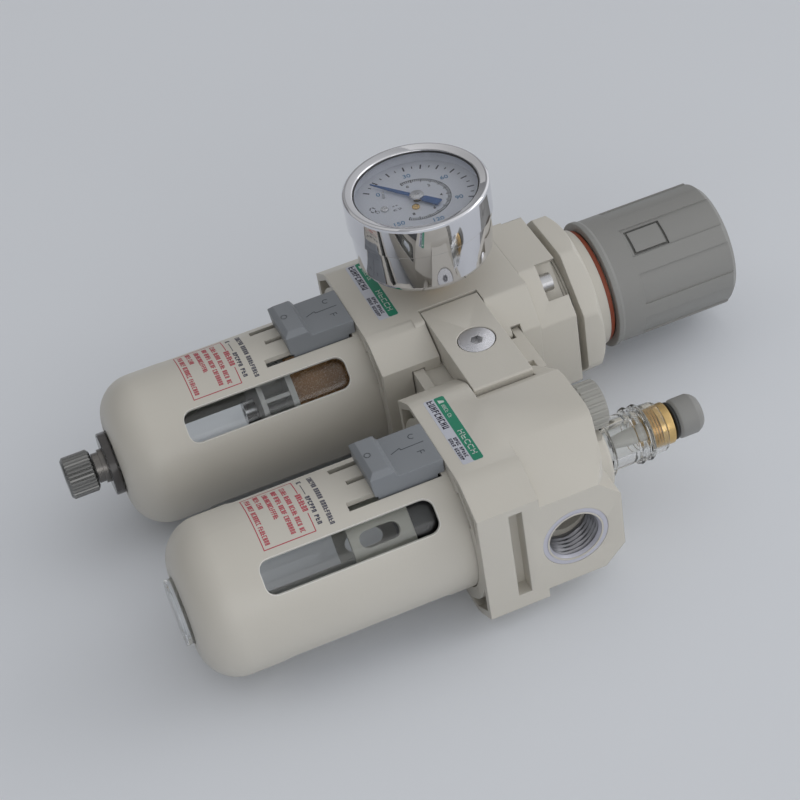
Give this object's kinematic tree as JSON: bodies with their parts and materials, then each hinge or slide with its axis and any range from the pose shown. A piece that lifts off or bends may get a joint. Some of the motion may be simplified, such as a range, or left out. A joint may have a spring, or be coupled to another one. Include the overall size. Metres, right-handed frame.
{
  "type": "filter regulator lubricator",
  "caption": "Compressed air preparation unit: a filter regulator with a round gauge and a lubricator, joined by a spacer, with guarded bowls, a pressure knob and a sight dome.",
  "frame": {"origin": "centre of the inlet port's mouth", "axes": "+X from the bowls to the pressure knob, +Y out of the inlet port, +Z out of the gauge's face"},
  "size_m": [0.2021, 0.117, 0.08],
  "materials": {
    "ivory_paint": "satin powder coat on steel",
    "ivory_cast": "die-cast, with an ivory satin powder coat",
    "grey_plastic": "moulded, fine satin grain",
    "blue_grey_plastic": "moulded, satin",
    "clear_plastic": "clear polycarbonate",
    "sintered_bronze": "porous sintered metal",
    "white_plastic": "moulded",
    "chrome": "polished plate",
    "dial_white": "matt print",
    "pointer_blue": "satin",
    "lens_glass": "clear",
    "steel": "bright zinc plated",
    "dark_metal": "black oxide, knurled",
    "brass": "turned",
    "rubber": "matt",
    "ring_orange": "moulded",
    "black_plastic": "moulded"
  },
  "bodies": {
    "housing": {"baffle_holder": "black_plastic", "bonnet_screws": "steel", "bourdon_tube": "brass", "damper_pin": "steel", "diaphragm": "rubber", "dome_seal": "rubber", "element_baffle": "white_plastic", "element_bolt": "steel", "filter_element": "sintered_bronze", "gauge_bezel": "chrome", "gauge_case": "chrome", "gauge_dial": "dial_white", "gauge_lens": "lens_glass", "gauge_movement": "brass", "gauge_port_plug": "steel", "gauge_stem": "brass", "lubricator_body": "ivory_cast", "needle_insert": "brass", "oil_baffle": "grey_plastic", "oil_plug_seal": "rubber", "oil_strainer": "sintered_bronze", "panel_nut": "ivory_cast", "regulating_spring": "steel", "regulator_body": "ivory_cast", "regulator_bonnet": "ivory_cast", "sight_dome": "clear_plastic", "siphon_tube": "white_plastic", "spacer_back_plate": "ivory_cast", "spacer_clamp": "ivory_cast", "spacer_frame": "ivory_cast", "spacer_screws": "steel", "spacer_seals": "rubber", "swirl_deflector": "white_plastic", "unlock_ring": "ring_orange", "valve_guide": "white_plastic", "valve_spring": "steel"},
    "pressure_knob": {"pressure_knob": "grey_plastic"},
    "adjusting_screw": {"adjusting_screw": "steel"},
    "spring_seat": {"spring_seat": "steel"},
    "diaphragm_plate": {"diaphragm_plate": "steel"},
    "valve_poppet": {"valve_poppet": "brass"},
    "gauge_pointer": {"gauge_pointer": "pointer_blue"},
    "filter_bowl": {"filter_bowl": "clear_plastic", "filter_bowl_guard": "ivory_paint", "filter_bowl_seal": "rubber", "drain_guide": "steel"},
    "filter_lock_button": {"filter_lock_button": "blue_grey_plastic"},
    "drain_cock": {"drain_cock": "dark_metal"},
    "lubricator_bowl": {"lubricator_bowl": "clear_plastic", "lubricator_bowl_guard": "ivory_paint", "lubricator_bowl_seal": "rubber"},
    "lubricator_lock_button": {"lubricator_lock_button": "blue_grey_plastic"},
    "drip_adjuster": {"adjusting_cap": "grey_plastic", "needle_valve": "brass", "cap_seal": "rubber"},
    "oil_plug": {"oil_plug": "grey_plastic"},
    "flow_damper": {"flow_damper": "white_plastic"}
  },
  "joints": [
    {"name": "pressure_adjust", "type": "hinge", "parent": "housing", "child": "adjusting_screw", "pos_m": [0.045, -0.0265, 0], "axis": [1, 0, 0], "range_deg": [-1080, 1080]},
    {"name": "knob_lift", "type": "slide", "parent": "adjusting_screw", "child": "pressure_knob", "axis": [1, 0, 0], "range_m": [0, 0.003]},
    {"name": "spring_seat_travel", "type": "slide", "parent": "housing", "child": "spring_seat", "axis": [1, 0, 0], "range_m": [-0.0038, 0.0038], "deforming": ["regulating_spring"]},
    {"name": "diaphragm_travel", "type": "slide", "parent": "housing", "child": "diaphragm_plate", "axis": [-1, 0, 0], "range_m": [0, 0.0012], "stiffness_N_per_m": 400, "springref_m": -0.001, "deforming": ["diaphragm"]},
    {"name": "valve_lift", "type": "slide", "parent": "housing", "child": "valve_poppet", "axis": [-1, 0, 0], "range_m": [0, 0.0013], "deforming": ["valve_spring"]},
    {"name": "gauge_pointer_turn", "type": "hinge", "parent": "housing", "child": "gauge_pointer", "pos_m": [0, -0.0265, 0.05], "axis": [0, 0, 1], "range_deg": [-265, 11]},
    {"name": "filter_bowl_twist", "type": "hinge", "parent": "housing", "child": "filter_bowl", "pos_m": [-0.02, -0.0265, 0], "axis": [1, 0, 0], "range_deg": [-41.5, 0]},
    {"name": "filter_lock_slide", "type": "slide", "parent": "filter_bowl", "child": "filter_lock_button", "axis": [-1, 0, 0], "range_m": [0, 0.003], "stiffness_N_per_m": 300, "springref_m": -0.002},
    {"name": "drain_turn", "type": "hinge", "parent": "filter_bowl", "child": "drain_cock", "pos_m": [-0.11, -0.0265, 0], "axis": [1, 0, 0], "range_deg": [0, 180]},
    {"name": "lubricator_bowl_twist", "type": "hinge", "parent": "housing", "child": "lubricator_bowl", "pos_m": [-0.02, -0.0905, 0], "axis": [1, 0, 0], "range_deg": [-41.5, 0]},
    {"name": "lubricator_lock_slide", "type": "slide", "parent": "lubricator_bowl", "child": "lubricator_lock_button", "axis": [-1, 0, 0], "range_m": [0, 0.003], "stiffness_N_per_m": 300, "springref_m": -0.002},
    {"name": "drip_adjust", "type": "hinge", "parent": "housing", "child": "drip_adjuster", "pos_m": [0.045, -0.0905, 0], "axis": [1, 0, 0], "range_deg": [0, 360]},
    {"name": "oil_plug_turn", "type": "hinge", "parent": "housing", "child": "oil_plug", "pos_m": [0.018, -0.0905, 0.0164], "axis": [1, 0, 0], "range_deg": [0, 360]},
    {"name": "flow_damper_swing", "type": "hinge", "parent": "housing", "child": "flow_damper", "pos_m": [0.0054, -0.0865, 0], "axis": [0, 0, 1], "range_deg": [0, 55], "stiffness_Nm_per_rad": 0.001, "springref_deg": -17.19}
  ],
  "couplings": [
    {"joint": "spring_seat_travel", "follows": "pressure_adjust", "m_per_rad": 0.00019894},
    {"joint": "valve_lift", "follows": "diaphragm_travel", "ratio": 1}
  ]
}
